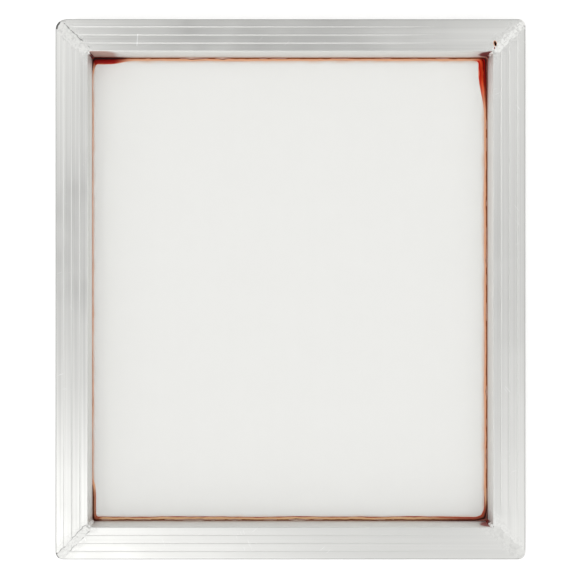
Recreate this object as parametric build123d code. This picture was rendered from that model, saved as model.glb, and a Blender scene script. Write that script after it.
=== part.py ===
from build123d import *
import math
import os

# Aluminium screen printing frame. Four mitred hollow rails are welded and dressed at the corners, and a
# polyester mesh is stretched over the underside and glued to it with a red two-part adhesive, which
# squeezes out as a bead along the foot of each inner wall.
# Millimetres, +Z up. The frame lies flat, mesh down, and the origin is under the middle of the mesh.

# ---------------------------------------------------------------- overall sizes
FRAME_WIDTH = 508.0  # over the left and right rails, along X
FRAME_LENGTH = 584.0  # over the front and back rails, along Y

# ---------------------------------------------------------------- extruded rail
RAIL_WIDTH = 35.0  # across the face that carries the grooves
RAIL_HEIGHT = 30.0
RAIL_WALL = 1.8
RAIL_EDGE_RADIUS = 1.0  # the die's radius on the four outer edges
RAIL_BORE_RADIUS = 0.5  # the die's radius on the four inner edges
GROOVE_COUNT = 3  # evenly spaced over the upper and the lower face
GROOVE_WIDTH = 1.2
GROOVE_DEPTH = 0.25

# ---------------------------------------------------------------- mesh and adhesive
FABRIC_THICKNESS = 0.13
GLUE_FILM_THICKNESS = 0.2  # between the rail's underside and the mesh
TRIM_MARGIN = 2.0  # the mesh and the glue stop this far inside the rails' outer faces
TRIM_CORNER = 12.0  # leg of the knife cut across each corner of the mesh
BEAD_WIDTH = 4.0  # squeeze-out on the mesh, from the wall inwards
BEAD_HEIGHT = 3.0  # squeeze-out up the wall, from the mesh
HOLLOW = 0.36  # how far a hollow-faced fillet's middle stands out, as a share of its legs

# ---------------------------------------------------------------- welds
FACE_WELD_CROWN = 0.5  # how far the dressed weld stands above the rails' upper face
WELD_PENETRATION = 0.8  # share of the wall that the face and base welds go through
BASE_WELD_WIDTH = 7.0  # on the underside, ground flush
OUTER_WELD_THICKNESS = 2.6  # weld metal round each outer corner
# Each corner was dressed by hand, so each has its own outer radius, face weld and inner weld.
CORNERS = {
    "back_left": {"x": -1, "y": 1, "radius": 11.0, "face_weld": 8.0, "inner_weld": 5.0},
    "back_right": {"x": 1, "y": 1, "radius": 6.5, "face_weld": 7.0, "inner_weld": 4.0},
    "front_left": {"x": -1, "y": -1, "radius": 7.5, "face_weld": 7.0, "inner_weld": 5.5},
    "front_right": {"x": 1, "y": -1, "radius": 7.5, "face_weld": 8.0, "inner_weld": 6.0},
}
# Each side's outward direction, and the corners at its two ends.
SIDES = {
    "back": {"out": (0, 1), "ends": ("back_left", "back_right")},
    "front": {"out": (0, -1), "ends": ("front_left", "front_right")},
    "left": {"out": (-1, 0), "ends": ("front_left", "back_left")},
    "right": {"out": (1, 0), "ends": ("front_right", "back_right")},
}

# ---------------------------------------------------------------- heights that follow
RAIL_BOTTOM = FABRIC_THICKNESS + GLUE_FILM_THICKNESS
RAIL_TOP = RAIL_BOTTOM + RAIL_HEIGHT
CLEAR = 1.0  # how far a cutting tool runs past what it cuts
TOOL_REACH = RAIL_WIDTH + BEAD_WIDTH + CLEAR  # from a rail's outer face to past its bead


def section_plane(side):
    """A plane across a side's rail: its X is the distance in from the rail's outer face, and its Y is up."""
    out_x, out_y = SIDES[side]["out"]
    inward = Vector(-out_x, -out_y, 0)
    origin = (out_x * FRAME_WIDTH / 2, out_y * FRAME_LENGTH / 2, 0)
    return Plane(origin=origin, x_dir=inward, z_dir=inward.cross(Vector(0, 0, 1)))


def run_along(side, section):
    """The section drawn on section_plane, run along the whole side and mitred at both ends."""
    plane = section_plane(side)
    run = extrude(plane * section, amount=max(FRAME_WIDTH, FRAME_LENGTH) / 2, both=True)
    return run & mitre_wedge(side)


def mitre_wedge(side):
    """The plan that belongs to a side: from its outer face inwards, between the two corners' diagonals."""
    across = FRAME_WIDTH if SIDES[side]["out"][1] else FRAME_LENGTH
    outline = Polygon(
        (0, -across / 2),
        (TOOL_REACH, TOOL_REACH - across / 2),
        (TOOL_REACH, across / 2 - TOOL_REACH),
        (0, across / 2),
        align=None,
    )
    out_x, out_y = SIDES[side]["out"]
    inward = Vector(-out_x, -out_y, 0)
    origin = (out_x * FRAME_WIDTH / 2, out_y * FRAME_LENGTH / 2, -CLEAR)
    plan = Plane(origin=origin, x_dir=inward, z_dir=(0, 0, 1))
    return extrude(plan * outline, amount=RAIL_TOP + 2 * CLEAR)


def grooves(height, into):
    """V grooves spread over a rail face at this height, cut in the direction into: -1 down, 1 up."""
    cuts = Sketch()
    for i in range(1, GROOVE_COUNT + 1):
        at = RAIL_WIDTH * i / (GROOVE_COUNT + 1)
        cuts += Polygon(
            (at - GROOVE_WIDTH / 2, height),
            (at, height + into * GROOVE_DEPTH),
            (at + GROOVE_WIDTH / 2, height),
            (at + GROOVE_WIDTH / 2, height - into * CLEAR),
            (at - GROOVE_WIDTH / 2, height - into * CLEAR),
            align=None,
        )
    return cuts


def rail_section():
    """The extrusion: a hollow box with grooves along its upper and lower faces."""
    centre = Pos(RAIL_WIDTH / 2, RAIL_BOTTOM + RAIL_HEIGHT / 2)
    skin = centre * RectangleRounded(RAIL_WIDTH, RAIL_HEIGHT, RAIL_EDGE_RADIUS)
    bore = centre * RectangleRounded(RAIL_WIDTH - 2 * RAIL_WALL, RAIL_HEIGHT - 2 * RAIL_WALL, RAIL_BORE_RADIUS)
    return skin - bore - grooves(RAIL_TOP, -1) - grooves(RAIL_BOTTOM, 1)


def glue_film_section():
    """Glue between the rail and the mesh, which also fills the rail's lower grooves."""
    width = RAIL_WIDTH - RAIL_EDGE_RADIUS - TRIM_MARGIN
    film = Pos(TRIM_MARGIN, FABRIC_THICKNESS) * Rectangle(width, GLUE_FILM_THICKNESS, align=(Align.MIN, Align.MIN))
    band = Pos(0, FABRIC_THICKNESS) * Rectangle(
        RAIL_WIDTH, GLUE_FILM_THICKNESS + GROOVE_DEPTH, align=(Align.MIN, Align.MIN)
    )
    return film + (grooves(RAIL_BOTTOM, 1) & band)


def glue_bead_section():
    """Squeeze-out: a hollow-faced fillet of glue between the mesh, the wall and the rail's rounded edge."""
    wall = RAIL_WIDTH
    under = RAIL_WIDTH - RAIL_EDGE_RADIUS
    bead_top = FABRIC_THICKNESS + BEAD_HEIGHT
    edge_top = RAIL_BOTTOM + RAIL_EDGE_RADIUS
    lean = RAIL_EDGE_RADIUS * (1 - math.sqrt(0.5))
    outline = [
        Line((under, FABRIC_THICKNESS), (wall + BEAD_WIDTH, FABRIC_THICKNESS)),
        ThreePointArc(
            (wall + BEAD_WIDTH, FABRIC_THICKNESS),
            (wall + BEAD_WIDTH * HOLLOW, FABRIC_THICKNESS + BEAD_HEIGHT * HOLLOW),
            (wall, bead_top),
        ),
        Line((wall, bead_top), (wall, edge_top)),
        ThreePointArc((wall, edge_top), (wall - lean, RAIL_BOTTOM + lean), (under, RAIL_BOTTOM)),
        Line((under, RAIL_BOTTOM), (under, FABRIC_THICKNESS)),
    ]
    return make_face(outline)


def corner_plane(corner, height):
    """A level plane at a corner: its origin is the rails' outer corner, and its X and Y run into the frame."""
    side_x, side_y = CORNERS[corner]["x"], CORNERS[corner]["y"]
    origin = (side_x * FRAME_WIDTH / 2, side_y * FRAME_LENGTH / 2, height)
    return Plane(origin=origin, x_dir=(-side_x, 0, 0), z_dir=(0, 0, side_x * side_y))


def corner_solid(corner, outline, bottom, top):
    """An outline in a corner's own X and Y, raised from bottom to top."""
    return extrude(corner_plane(corner, bottom) * outline, amount=top - bottom, dir=(0, 0, 1))


def outside_round(radius, thickness):
    """The plan of everything in a corner that lies outside the weld metal's inner curve."""
    square = Rectangle(radius, radius, align=(Align.MIN, Align.MIN))
    return square - Pos(radius, radius) * Circle(radius - thickness)


def outer_weld(corner):
    """Weld metal that closes the mitre on the outside, dressed to the corner's own radius."""
    radius = CORNERS[corner]["radius"]
    ring = outside_round(radius, OUTER_WELD_THICKNESS) & Pos(radius, radius) * Circle(radius)
    return corner_solid(corner, ring, RAIL_BOTTOM, RAIL_TOP)


def outer_cut(corner):
    """What the dressed corner takes off the rails, from top to bottom."""
    radius = CORNERS[corner]["radius"]
    reach = Rectangle(radius + CLEAR, radius + CLEAR, align=(Align.MAX, Align.MAX))
    plan = Pos(radius, radius) * reach - Pos(radius, radius) * Circle(radius - OUTER_WELD_THICKNESS)
    return corner_solid(corner, plan, -CLEAR, RAIL_TOP + CLEAR + FACE_WELD_CROWN)


def rails_plan(corner):
    """The two rails' plan round a corner, from below the frame to above it."""
    reach = TOOL_REACH + CORNERS[corner]["face_weld"]
    square = Rectangle(reach, reach, align=(Align.MIN, Align.MIN))
    well = Pos(RAIL_WIDTH, RAIL_WIDTH) * Rectangle(reach, reach, align=(Align.MIN, Align.MIN))
    return corner_solid(corner, square - well, -CLEAR, RAIL_TOP + CLEAR + FACE_WELD_CROWN)


def mitre_weld(corner, width, level, up, crown):
    """A weld along the mitre line. Its root points away from up, and its face bulges by crown, or is flat."""
    corner_at = corner_plane(corner, level)
    along = (corner_at.x_dir + corner_at.y_dir).normalized()
    plane = Plane(origin=corner_at.origin, x_dir=Vector(0, 0, up).cross(along), z_dir=along)
    half, root = width / 2, RAIL_WALL * WELD_PENETRATION
    face = ThreePointArc((-half, 0), (0, crown), (half, 0)) if crown else Line((-half, 0), (half, 0))
    outline = make_face([face, Line((half, 0), (0, -root)), Line((0, -root), (-half, 0))])
    weld = extrude(plane * outline, amount=(RAIL_WIDTH + width) * math.sqrt(2))
    return (weld & rails_plan(corner)) - outer_cut(corner)


def face_weld(corner):
    """The weld on the upper face, left slightly proud."""
    return mitre_weld(corner, CORNERS[corner]["face_weld"], RAIL_TOP, 1, FACE_WELD_CROWN)


def base_weld(corner):
    """The weld on the underside, ground flush so that the mesh can be glued over it."""
    return mitre_weld(corner, BASE_WELD_WIDTH, RAIL_BOTTOM, -1, 0)


def inner_weld(corner):
    """The hollow-faced fillet weld up the inside corner, from the glue bead to the rails' rounded edge."""
    leg = CORNERS[corner]["inner_weld"]
    outline = make_face(
        [
            Line((RAIL_WIDTH, RAIL_WIDTH), (RAIL_WIDTH + leg, RAIL_WIDTH)),
            ThreePointArc(
                (RAIL_WIDTH + leg, RAIL_WIDTH),
                (RAIL_WIDTH + leg * HOLLOW, RAIL_WIDTH + leg * HOLLOW),
                (RAIL_WIDTH, RAIL_WIDTH + leg),
            ),
            Line((RAIL_WIDTH, RAIL_WIDTH + leg), (RAIL_WIDTH, RAIL_WIDTH)),
        ]
    )
    return corner_solid(corner, outline, FABRIC_THICKNESS + BEAD_HEIGHT, RAIL_TOP - RAIL_EDGE_RADIUS)


def corner_trim(corner):
    """What the knife takes off a corner of the mesh and the glue under the rails."""
    leg = 2 * TRIM_MARGIN + TRIM_CORNER
    return corner_solid(corner, Polygon((0, 0), (leg, 0), (0, leg), align=None), -CLEAR, RAIL_TOP)


def rail(side):
    """One extruded rail, mitred, cut back for the welds at both ends."""
    solid = run_along(side, rail_section())
    for corner in SIDES[side]["ends"]:
        solid = solid - outer_cut(corner) - face_weld(corner) - base_weld(corner)
    return solid


def glue_film(side):
    """The glue under one rail."""
    solid = run_along(side, glue_film_section())
    for corner in SIDES[side]["ends"]:
        solid = solid - corner_trim(corner) - base_weld(corner)
    return solid


def glue_bead(side):
    """The glue squeezed out along one rail's inner wall."""
    solid = run_along(side, glue_bead_section())
    for corner in SIDES[side]["ends"]:
        solid = solid - base_weld(corner)
    return solid


def mesh_fabric():
    """The stretched mesh, trimmed inside the rails and across the corners."""
    width, length = FRAME_WIDTH - 2 * TRIM_MARGIN, FRAME_LENGTH - 2 * TRIM_MARGIN
    solid = extrude(Rectangle(width, length), amount=FABRIC_THICKNESS)
    for corner in CORNERS:
        solid = solid - corner_trim(corner)
    return solid


def main():
    os.makedirs("parts", exist_ok=True)
    pieces = {"mesh_fabric": mesh_fabric()}
    for side in SIDES:
        pieces["rail_" + side] = rail(side)
        pieces["glue_film_" + side] = glue_film(side)
        pieces["glue_bead_" + side] = glue_bead(side)
    for corner in CORNERS:
        pieces["face_weld_" + corner] = face_weld(corner)
        pieces["outer_weld_" + corner] = outer_weld(corner)
        pieces["inner_weld_" + corner] = inner_weld(corner)
        pieces["base_weld_" + corner] = base_weld(corner)
    for name, shape in pieces.items():
        export_step(shape, "parts/" + name + ".step")


main()
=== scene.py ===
# %% [markdown]
# # An aluminium screen printing frame
# Four hollow aluminium rails are mitred, welded and dressed at the corners. A white polyester mesh is
# stretched over the underside and held by a red two-part adhesive. The rails come from the CAD model as
# they are. The mesh, the adhesive and the weld metal are soft or hand-worked, so they are modelled here.

# %% the frame that everything is built around
import math

import bmesh
import bpy
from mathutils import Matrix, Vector


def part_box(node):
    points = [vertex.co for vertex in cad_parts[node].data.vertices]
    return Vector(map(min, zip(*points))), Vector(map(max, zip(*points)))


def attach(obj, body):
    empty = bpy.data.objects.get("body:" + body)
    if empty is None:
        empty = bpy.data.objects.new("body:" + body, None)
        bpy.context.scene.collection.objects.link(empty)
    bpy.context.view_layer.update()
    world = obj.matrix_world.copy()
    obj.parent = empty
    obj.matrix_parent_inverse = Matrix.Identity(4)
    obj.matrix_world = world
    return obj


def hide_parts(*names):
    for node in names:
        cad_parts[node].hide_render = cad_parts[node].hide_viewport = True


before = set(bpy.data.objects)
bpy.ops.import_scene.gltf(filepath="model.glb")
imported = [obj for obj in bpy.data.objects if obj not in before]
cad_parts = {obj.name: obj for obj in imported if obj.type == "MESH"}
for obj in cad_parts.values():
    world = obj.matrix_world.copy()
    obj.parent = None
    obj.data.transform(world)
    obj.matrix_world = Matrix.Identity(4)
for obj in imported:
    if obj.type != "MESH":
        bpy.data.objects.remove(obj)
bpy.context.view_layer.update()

# %% [markdown]
# The frame's own boxes give every size that the pieces below have to meet: the outside, the well between
# the rails, the rails' upper face and the top of the cloth. All lengths are in metres.

# %% sizes read from the frame
rail_low, rail_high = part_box("rail_right")
OUTER = Vector((rail_high.x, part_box("rail_back")[1].y))
WELL = Vector((rail_low.x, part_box("rail_back")[0].y))
RAIL_BASE = rail_low.z
RAIL_TOP = rail_high.z
CLOTH_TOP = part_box("mesh_fabric")[1].z
MM = 0.001
HAIR = 0.01 * MM  # closer than this counts as the same place
CORNERS = {"back_left": (-1, 1), "back_right": (1, 1), "front_left": (-1, -1), "front_right": (1, -1)}


def corner_point(half_sizes, corner, height=0.0):
    """One corner of a rectangle round the origin, at a height."""
    sign_x, sign_y = CORNERS[corner]
    return Vector((sign_x * half_sizes.x, sign_y * half_sizes.y, height))


print("outer", OUTER, "well", WELL, "rail", RAIL_BASE, RAIL_TOP)

# %% [markdown]
# ## Camera
# The frame is looked at from straight above, from a little over a metre, so the lens shows a sliver of
# each inner wall. The camera stands a little to the left and its lens is shifted back by as much, which
# keeps the frame a true rectangle.

# %% camera
CAMERA_HEIGHT = 1.12  # above the rails' upper face
FRAME_SHARE = 0.9384  # of the picture's height that the frame's long side fills
OFF_CENTRE = Vector((2.7, -1.4)) * MM  # the frame's middle, from the picture's middle
CAMERA_LEFT = 18 * MM
field = 2 * OUTER.y / FRAME_SHARE
bpy.ops.object.camera_add(
    location=(-OFF_CENTRE.x - CAMERA_LEFT, -OFF_CENTRE.y, RAIL_TOP + CAMERA_HEIGHT), rotation=(0, 0, 0)
)
camera = bpy.context.object
camera.data.sensor_width = 36
camera.data.lens = camera.data.sensor_width * CAMERA_HEIGHT / field
camera.data.shift_x = CAMERA_LEFT / field
bpy.context.scene.camera = camera
print("lens", round(camera.data.lens, 1), "shift", round(camera.data.shift_x, 3))


# %% [markdown]
# ## Finishes
# Small helpers do the writing. `linear` turns an sRGB hex colour to linear. `add` makes one node, sets it
# and links its inputs. The others are the nodes used most: arithmetic, a change of range, noise, a colour
# ramp and a mix of two colours.

# %% helpers for materials
def linear(hex_colour):
    """An sRGB hex colour as linear red, green, blue and alpha."""
    channels = [int(hex_colour[i : i + 2], 16) / 255 for i in (0, 2, 4)]
    return [c / 12.92 if c <= 0.04045 else ((c + 0.055) / 1.055) ** 2.4 for c in channels] + [1.0]


def add(tree, kind, inputs=None, **settings):
    """One node with its settings and its inputs, which are values or other nodes' outputs."""
    made = tree.nodes.new("ShaderNode" + kind)
    for name, value in settings.items():
        setattr(made, name, value)
    for socket, value in (inputs or {}).items():
        if isinstance(value, bpy.types.NodeSocket):
            tree.links.new(value, made.inputs[socket])
        else:
            made.inputs[socket].default_value = value
    return made.outputs


def calc(tree, operation, a, b=0.0):
    """One step of arithmetic."""
    return add(tree, "Math", {0: a, 1: b}, operation=operation)[0]


def spread(tree, value, low, high, to_low=0.0, to_high=1.0, kind="LINEAR"):
    """Turns the range low..high of a value into to_low..to_high, and stops there."""
    inputs = {"Value": value, "From Min": low, "From Max": high, "To Min": to_low, "To Max": to_high}
    return add(tree, "MapRange", inputs, interpolation_type=kind)[0]


def noise(tree, place, size, detail=2.0, roughness=0.5, distortion=0.0):
    """Noise around 0.5, with features of this size in metres."""
    inputs = {"Vector": place, "Scale": 1 / size, "Detail": detail}
    inputs.update({"Roughness": roughness, "Distortion": distortion})
    return add(tree, "TexNoise", inputs)[0]


def ramp(tree, value, *stops):
    """A colour ramp through (place, hex colour) stops."""
    made = tree.nodes.new("ShaderNodeValToRGB")
    tree.links.new(value, made.inputs[0])
    elements = made.color_ramp.elements
    for i, (place, colour) in enumerate(stops):
        stop = elements[i] if i < 2 else elements.new(place)
        stop.position = place
        stop.color = linear(colour)
    return made.outputs[0]


def blend(tree, share, first, second, kind="MIX"):
    """Two colours mixed by share."""
    return add(tree, "Mix", {0: share, 6: first, 7: second}, data_type="RGBA", blend_type=kind)[2]


def surface(material_name, build):
    """A material whose Principled shader gets the inputs that build(tree) returns."""
    material = bpy.data.materials.new(material_name)
    material.use_nodes = True
    tree = material.node_tree
    tree.nodes.clear()
    output = tree.nodes.new("ShaderNodeOutputMaterial")
    shader = add(tree, "BsdfPrincipled", build(tree))
    tree.links.new(shader["BSDF"], output.inputs["Surface"])
    return material


def wear(piece, material):
    """Gives a piece one material."""
    piece.data.materials.clear()
    piece.data.materials.append(material)


# %% [markdown]
# ### Light and floor
# A frame like this is shown on white, under soft light from all round, with the camera above it. Bare
# aluminium shows mostly what it reflects. Straight up the sky is dark, so the rails are greyer there than
# the low sides of their grooves, which see the bright part. Each card is a soft spot added to the sky, and
# one with a negative brightness takes light away. They were placed by trial, until each rail had its own
# run of light and dark. The floor gives off a little light of its own, as a lit white table does, so it
# stays white right up to the rails. Under the cloth lies a brighter panel, because a printer checks a
# screen on a light box.

# %% sky and floor
DOME = 1.89  # overhead
LOW_DOME = 0.78  # from 40 degrees above the horizon downwards
CARDS = [
    # towards (x, y) for each 1 of height, half-width in degrees, brightness added
    ((0.03, -0.02), 13.2, -1.24),  # dark overhead, which greys every upper face
    ((-0.16, -0.35), 9.0, 1.60),  # bright, for the front left corner
    ((-0.20, 0.41), 21.8, -1.20),  # dark, for the back rail
    ((-0.40, 0.33), 9.3, 1.60),  # bright, for the back left corner
    ((0.02, -0.38), 20.8, -0.66),  # dark, for the front rail
    ((-0.90, -1.80), 20.0, 0.75),  # bright and low, at the front left
    ((-0.24, 0.00), 6.0, -0.56),  # dark, for the left rail's middle
    ((-0.70, 0.05), 9.0, -0.45),  # and again further out
    ((1.60, 0.00), 14.0, -0.35),  # dark and low, on the right
    ((-0.48, 0.15), 6.0, 0.62),  # four small ones even out the left and back rails
    ((-0.42, -0.20), 7.0, 0.40),
    ((-0.16, 0.27), 7.0, -0.32),
    ((-0.20, 0.76), 9.0, 0.55),
]
HORIZON = 1.1  # a white band all round, which a low view sees behind the frame
scene = bpy.context.scene
scene.view_settings.view_transform = "Standard"
sky = bpy.data.worlds.new("studio")
scene.world = sky
sky.use_nodes = True
tree = sky.node_tree
tree.nodes.clear()
toward = add(tree, "TexCoord")["Generated"]
up = add(tree, "SeparateXYZ", {0: toward})[2]
light = spread(tree, up, 0.64, 0.97, LOW_DOME, DOME)
for (x, y), half_width, amount in CARDS:
    centre = Vector((x, y, 1)).normalized()
    facing = add(tree, "VectorMath", {0: toward, 1: centre}, operation="DOT_PRODUCT")["Value"]
    facing = calc(tree, "MAXIMUM", facing, 0.0)
    power = math.log(0.5) / math.log(math.cos(math.radians(half_width)))
    glow = calc(tree, "MULTIPLY", calc(tree, "POWER", facing, power), amount)
    light = calc(tree, "ADD", light, glow)
light = calc(tree, "MAXIMUM", light, spread(tree, up, 0.03, 0.20, HORIZON, 0.03))
background = add(tree, "Background", {"Color": linear("FFFFFE"), "Strength": light})
world_out = tree.nodes.new("ShaderNodeOutputWorld")
tree.links.new(background[0], world_out.inputs["Surface"])

TABLES = [
    # name, size along x and y, depth under the cloth, light it gives off
    ("white laminate table", (60.0, 60.0), 0.4 * MM, 0.30),
    ("opal light box", (OUTER.x * 1.94, OUTER.y * 1.94), 0.2 * MM, 0.69),
]
for name, (wide, deep), under, glow in TABLES:
    bpy.ops.object.select_all(action="DESELECT")
    bpy.ops.mesh.primitive_plane_add(size=1, location=(0, 0, -under))
    table = bpy.context.object
    table.name = name.replace(" ", "_")
    table.scale = (wide, deep, 1)
    bpy.ops.object.transform_apply(location=True, rotation=True, scale=True)
    lit = {"Base Color": linear("F4F4F4"), "Roughness": 0.7}
    lit.update({"Emission Color": (1, 1, 1, 1), "Emission Strength": glow})
    wear(table, surface(name, lambda tree, lit=lit: lit))

# %% [markdown]
# ### Mill finish aluminium
# The rails are pressed hot through a die and used as they come. So their surface has fine lines along the
# bar, broader bands where the die wore, a satin gloss that is blurred across the lines, a few scratches
# and smudges from handling. The lines really are finer than this: they are drawn about 1.4 mm apart so
# that they show from a metre away, and they are stronger on one rail than on the next. Beside each mitre
# the grinder has wiped them out. The inner walls stay duller and whiter. At their foot is a faint haze of
# adhesive, and in three corners it was smeared up the wall.

# %% mill finish aluminium
DIE_LINE = 1.4 * MM
DIE_BAND = 6 * MM
LINE_LENGTH = 500 * MM
GRIND_MARK = 3.03 * MM  # drawn coarser than the disc's grit
SMUDGE = 45.5 * MM  # left by a hand
GROUND_REACH = 9 * MM  # from the mitre, how far the grinder went
SCRATCH = (16 * MM, 0.8 * MM)  # length and spacing
HAZE_HEIGHT = 4 * MM  # above the cloth
WALL_EDGE = 0.3 * MM  # anything nearer the well than this is an inner wall
NICK = ((-166 * MM, 262.5 * MM), (-165 * MM, 276.6 * MM))  # a knock across the back rail
SATIN = (0.30, 0.38)  # roughness of the untouched metal
GROUND_SATIN = 0.40  # and beside a mitre
WALL_SATIN = 0.52  # and on the inner walls
SMEARS = [
    # corner, how far the smear reaches from it, colour, how much it covers
    ("back_left", 30 * MM, "B07C6C", 0.75),
    ("back_right", 15 * MM, "6A0A05", 0.95),
    ("front_right", 12 * MM, "8A1A0E", 0.85),
]


def mill_finish(tree, along, streaks):
    """Bare extruded aluminium with its lines along X or Y, as strong as the number in streaks."""
    place = add(tree, "TexCoord")["Object"]
    x, y, z = list(add(tree, "SeparateXYZ", {0: place}))[:3]

    def stretched(length, width, turn=0.0):
        """Coordinates that make a pattern this long along the bar and this wide across it."""
        scale = (1 / length, 1 / width, 1 / width)
        if along == "Y":
            scale = (1 / width, 1 / length, 1 / width)
        turned = add(tree, "Mapping", {"Vector": place, "Rotation": (0, 0, turn)})[0]
        return add(tree, "Mapping", {"Vector": turned, "Scale": scale})[0]

    lines = noise(tree, stretched(LINE_LENGTH, DIE_LINE), 1.0, 3.0)
    bands = noise(tree, stretched(LINE_LENGTH, DIE_BAND), 1.0, 1.0)
    smudge = noise(tree, place, SMUDGE, 4.0, 0.6)
    grind = noise(tree, place, GRIND_MARK, 3.0, 0.5, 1.2)

    # How far the surface was ground, from the distance to the nearest mitre.
    edge_x = calc(tree, "SUBTRACT", OUTER.x, calc(tree, "ABSOLUTE", x))
    edge_y = calc(tree, "SUBTRACT", OUTER.y, calc(tree, "ABSOLUTE", y))
    off_mitre = calc(tree, "ABSOLUTE", calc(tree, "SUBTRACT", edge_x, edge_y))
    off_mitre = calc(tree, "ADD", off_mitre, spread(tree, smudge, 0.3, 0.7, -6 * MM, 6 * MM))
    ground = spread(tree, off_mitre, GROUND_REACH, GROUND_REACH * 2.2, 1.0, 0.0, "SMOOTHSTEP")

    # Scratches: thin stretched ridges of noise in two directions, kept only in a few patches.
    scratches = 0.0
    for turn, patch_size in ((1.25, 32.26 * MM), (-0.7, 41.67 * MM)):
        ridge = spread(tree, noise(tree, stretched(*SCRATCH, turn), 1.0, 0.0), 0.76, 0.82)
        patch = spread(tree, noise(tree, place, patch_size, 1.0), 0.60, 0.68)
        scratches = calc(tree, "MAXIMUM", calc(tree, "MULTIPLY", ridge, patch), scratches)

    # The one deep nick is a straight scratch from end to end.
    if along == "X":
        (start_x, start_y), (end_x, end_y) = NICK
        centre_x = spread(tree, y, start_y, end_y, start_x, end_x)
        aside = calc(tree, "ABSOLUTE", calc(tree, "SUBTRACT", x, centre_x))
        nick = spread(tree, aside, 0.3 * MM, 0.7 * MM, 1.0, 0.0)
        from_middle = calc(tree, "ABSOLUTE", calc(tree, "SUBTRACT", y, (start_y + end_y) / 2))
        nick = calc(tree, "MULTIPLY", nick, spread(tree, from_middle, 6 * MM, 7 * MM, 1.0, 0.0))
        scratches = calc(tree, "MAXIMUM", scratches, nick)

    tone = add(tree, "Mix", {0: 0.5, 2: lines, 3: bands})[0]
    tone = spread(tree, tone, 0.0, 1.0, 0.5 - streaks / 2, 0.5 + streaks / 2)
    tone = add(tree, "Mix", {0: calc(tree, "MULTIPLY", ground, 0.6), 2: tone, 3: grind})[0]
    metal = ramp(tree, tone, (0.32, "D8D8D6"), (0.48, "E5E5E3"), (0.66, "F1F1EF"))
    colour = blend(tree, scratches, metal, linear("FDFDFD"))

    # Painted shade: a grey band darkens the outer edges of the upper face, where the edge rounds over.
    shaded_rim = spread(tree, calc(tree, "MINIMUM", edge_x, edge_y), 0.6 * MM, 1.3 * MM, 0.75, 0.0)
    shaded_rim = calc(tree, "MULTIPLY", shaded_rim, spread(tree, z, RAIL_TOP - 1.3 * MM, RAIL_TOP - 0.9 * MM))
    colour = blend(tree, shaded_rim, colour, linear("8E8E8C"))

    # Adhesive on the inner walls: a haze that fades upwards, and a smear at each corner that has one.
    to_x = calc(tree, "SUBTRACT", calc(tree, "ABSOLUTE", x), WELL.x)
    to_y = calc(tree, "SUBTRACT", calc(tree, "ABSOLUTE", y), WELL.y)
    off_wall = calc(tree, "MAXIMUM", to_x, to_y)
    on_wall = spread(tree, off_wall, WALL_EDGE, WALL_EDGE * 2, 1.0, 0.0)
    level = calc(tree, "DIVIDE", calc(tree, "SUBTRACT", z, CLOTH_TOP), HAZE_HEIGHT)
    level = calc(tree, "ADD", level, spread(tree, smudge, 0.0, 1.0, -0.4, 0.4))
    haze = calc(tree, "MULTIPLY", spread(tree, level, 0.1, 1.0, 0.34, 0.0), on_wall)
    colour = blend(tree, haze, colour, linear("B0745C"))
    coated = 0.0
    for corner, reach, smear_colour, cover in SMEARS if along == "X" else ():
        spot = corner_point(WELL, corner, RAIL_TOP / 2)
        away = add(tree, "VectorMath", {0: place, 1: spot}, operation="DISTANCE")["Value"]
        away = calc(tree, "ADD", away, spread(tree, smudge, 0.3, 0.7, -4 * MM, 4 * MM))
        smear = spread(tree, away, reach * 0.75, reach * 1.1, cover, 0.0, "SMOOTHSTEP")
        smear = calc(tree, "MULTIPLY", smear, on_wall)
        colour = blend(tree, smear, colour, linear(smear_colour))
        coated = calc(tree, "MAXIMUM", smear, coated)

    gloss = spread(tree, smudge, 0.3, 0.7, *SATIN)
    gloss = add(tree, "Mix", {0: ground, 2: gloss, 3: GROUND_SATIN})[0]
    gloss = add(tree, "Mix", {0: on_wall, 2: gloss, 3: WALL_SATIN})[0]
    relief = add(tree, "Mix", {0: ground, 2: lines, 3: grind})[0]
    relief = calc(tree, "SUBTRACT", relief, calc(tree, "MULTIPLY", scratches, 0.6))
    bump = add(tree, "Bump", {"Height": relief, "Strength": 1.0, "Distance": 0.012 * MM})[0]
    lengthwise = add(tree, "CombineXYZ", {0: float(along == "X"), 1: float(along == "Y"), 2: 0.0})[0]
    return {
        "Base Color": colour,
        "Metallic": calc(tree, "SUBTRACT", spread(tree, on_wall, 0.0, 1.0, 1.0, 0.75), coated),
        "Roughness": gloss,
        "Specular IOR Level": 0.1,
        "Anisotropic": 0.5,
        "Anisotropic Rotation": 0.25,
        "Tangent": lengthwise,
        "Normal": bump,
    }


# rail: which way its lines run, and how strong they are
RAILS = {"back": ("X", 0.65), "front": ("X", 0.3), "left": ("Y", 1.1), "right": ("Y", 0.65)}
MILL = {}
for side, (along, streaks) in RAILS.items():
    name = "aluminium, extruded, mill finish, " + side + " rail"
    MILL[side] = surface(name, lambda tree, along=along, streaks=streaks: mill_finish(tree, along, streaks))
    wear(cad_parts["rail_" + side], MILL[side])
    print("rail_" + side, "is", name)


# %% [markdown]
# ### Dressed weld
# The mitres are closed with aluminium filler wire and then ground by hand with a flap disc. The metal is
# the same but its surface is a patchwork of short strokes: duller and lumpier than the rail, with small
# pores, with grey grime where an edge was missed, and with painted shade darkening the outer welds' rims.
# The mesh says where, in `grime_and_shade`. Where the disc only skimmed it the metal stayed frosted and
# whitish, by the amount in `frost`. The same metal inside the corners is smeared with adhesive, from the
# cloth up to the height that `smear` gives.

# %% dressed weld
DISC_PATCH = 4.76 * MM  # left by one touch of the disc
DISC_STROKE = 1.25 * MM
PORE_SPACING = 3.85 * MM
RUBBED_SPOT = 6.67 * MM  # where grime came off again, and where the painted shade is broken up
SMEAR_STREAK = 2.38 * MM


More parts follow.
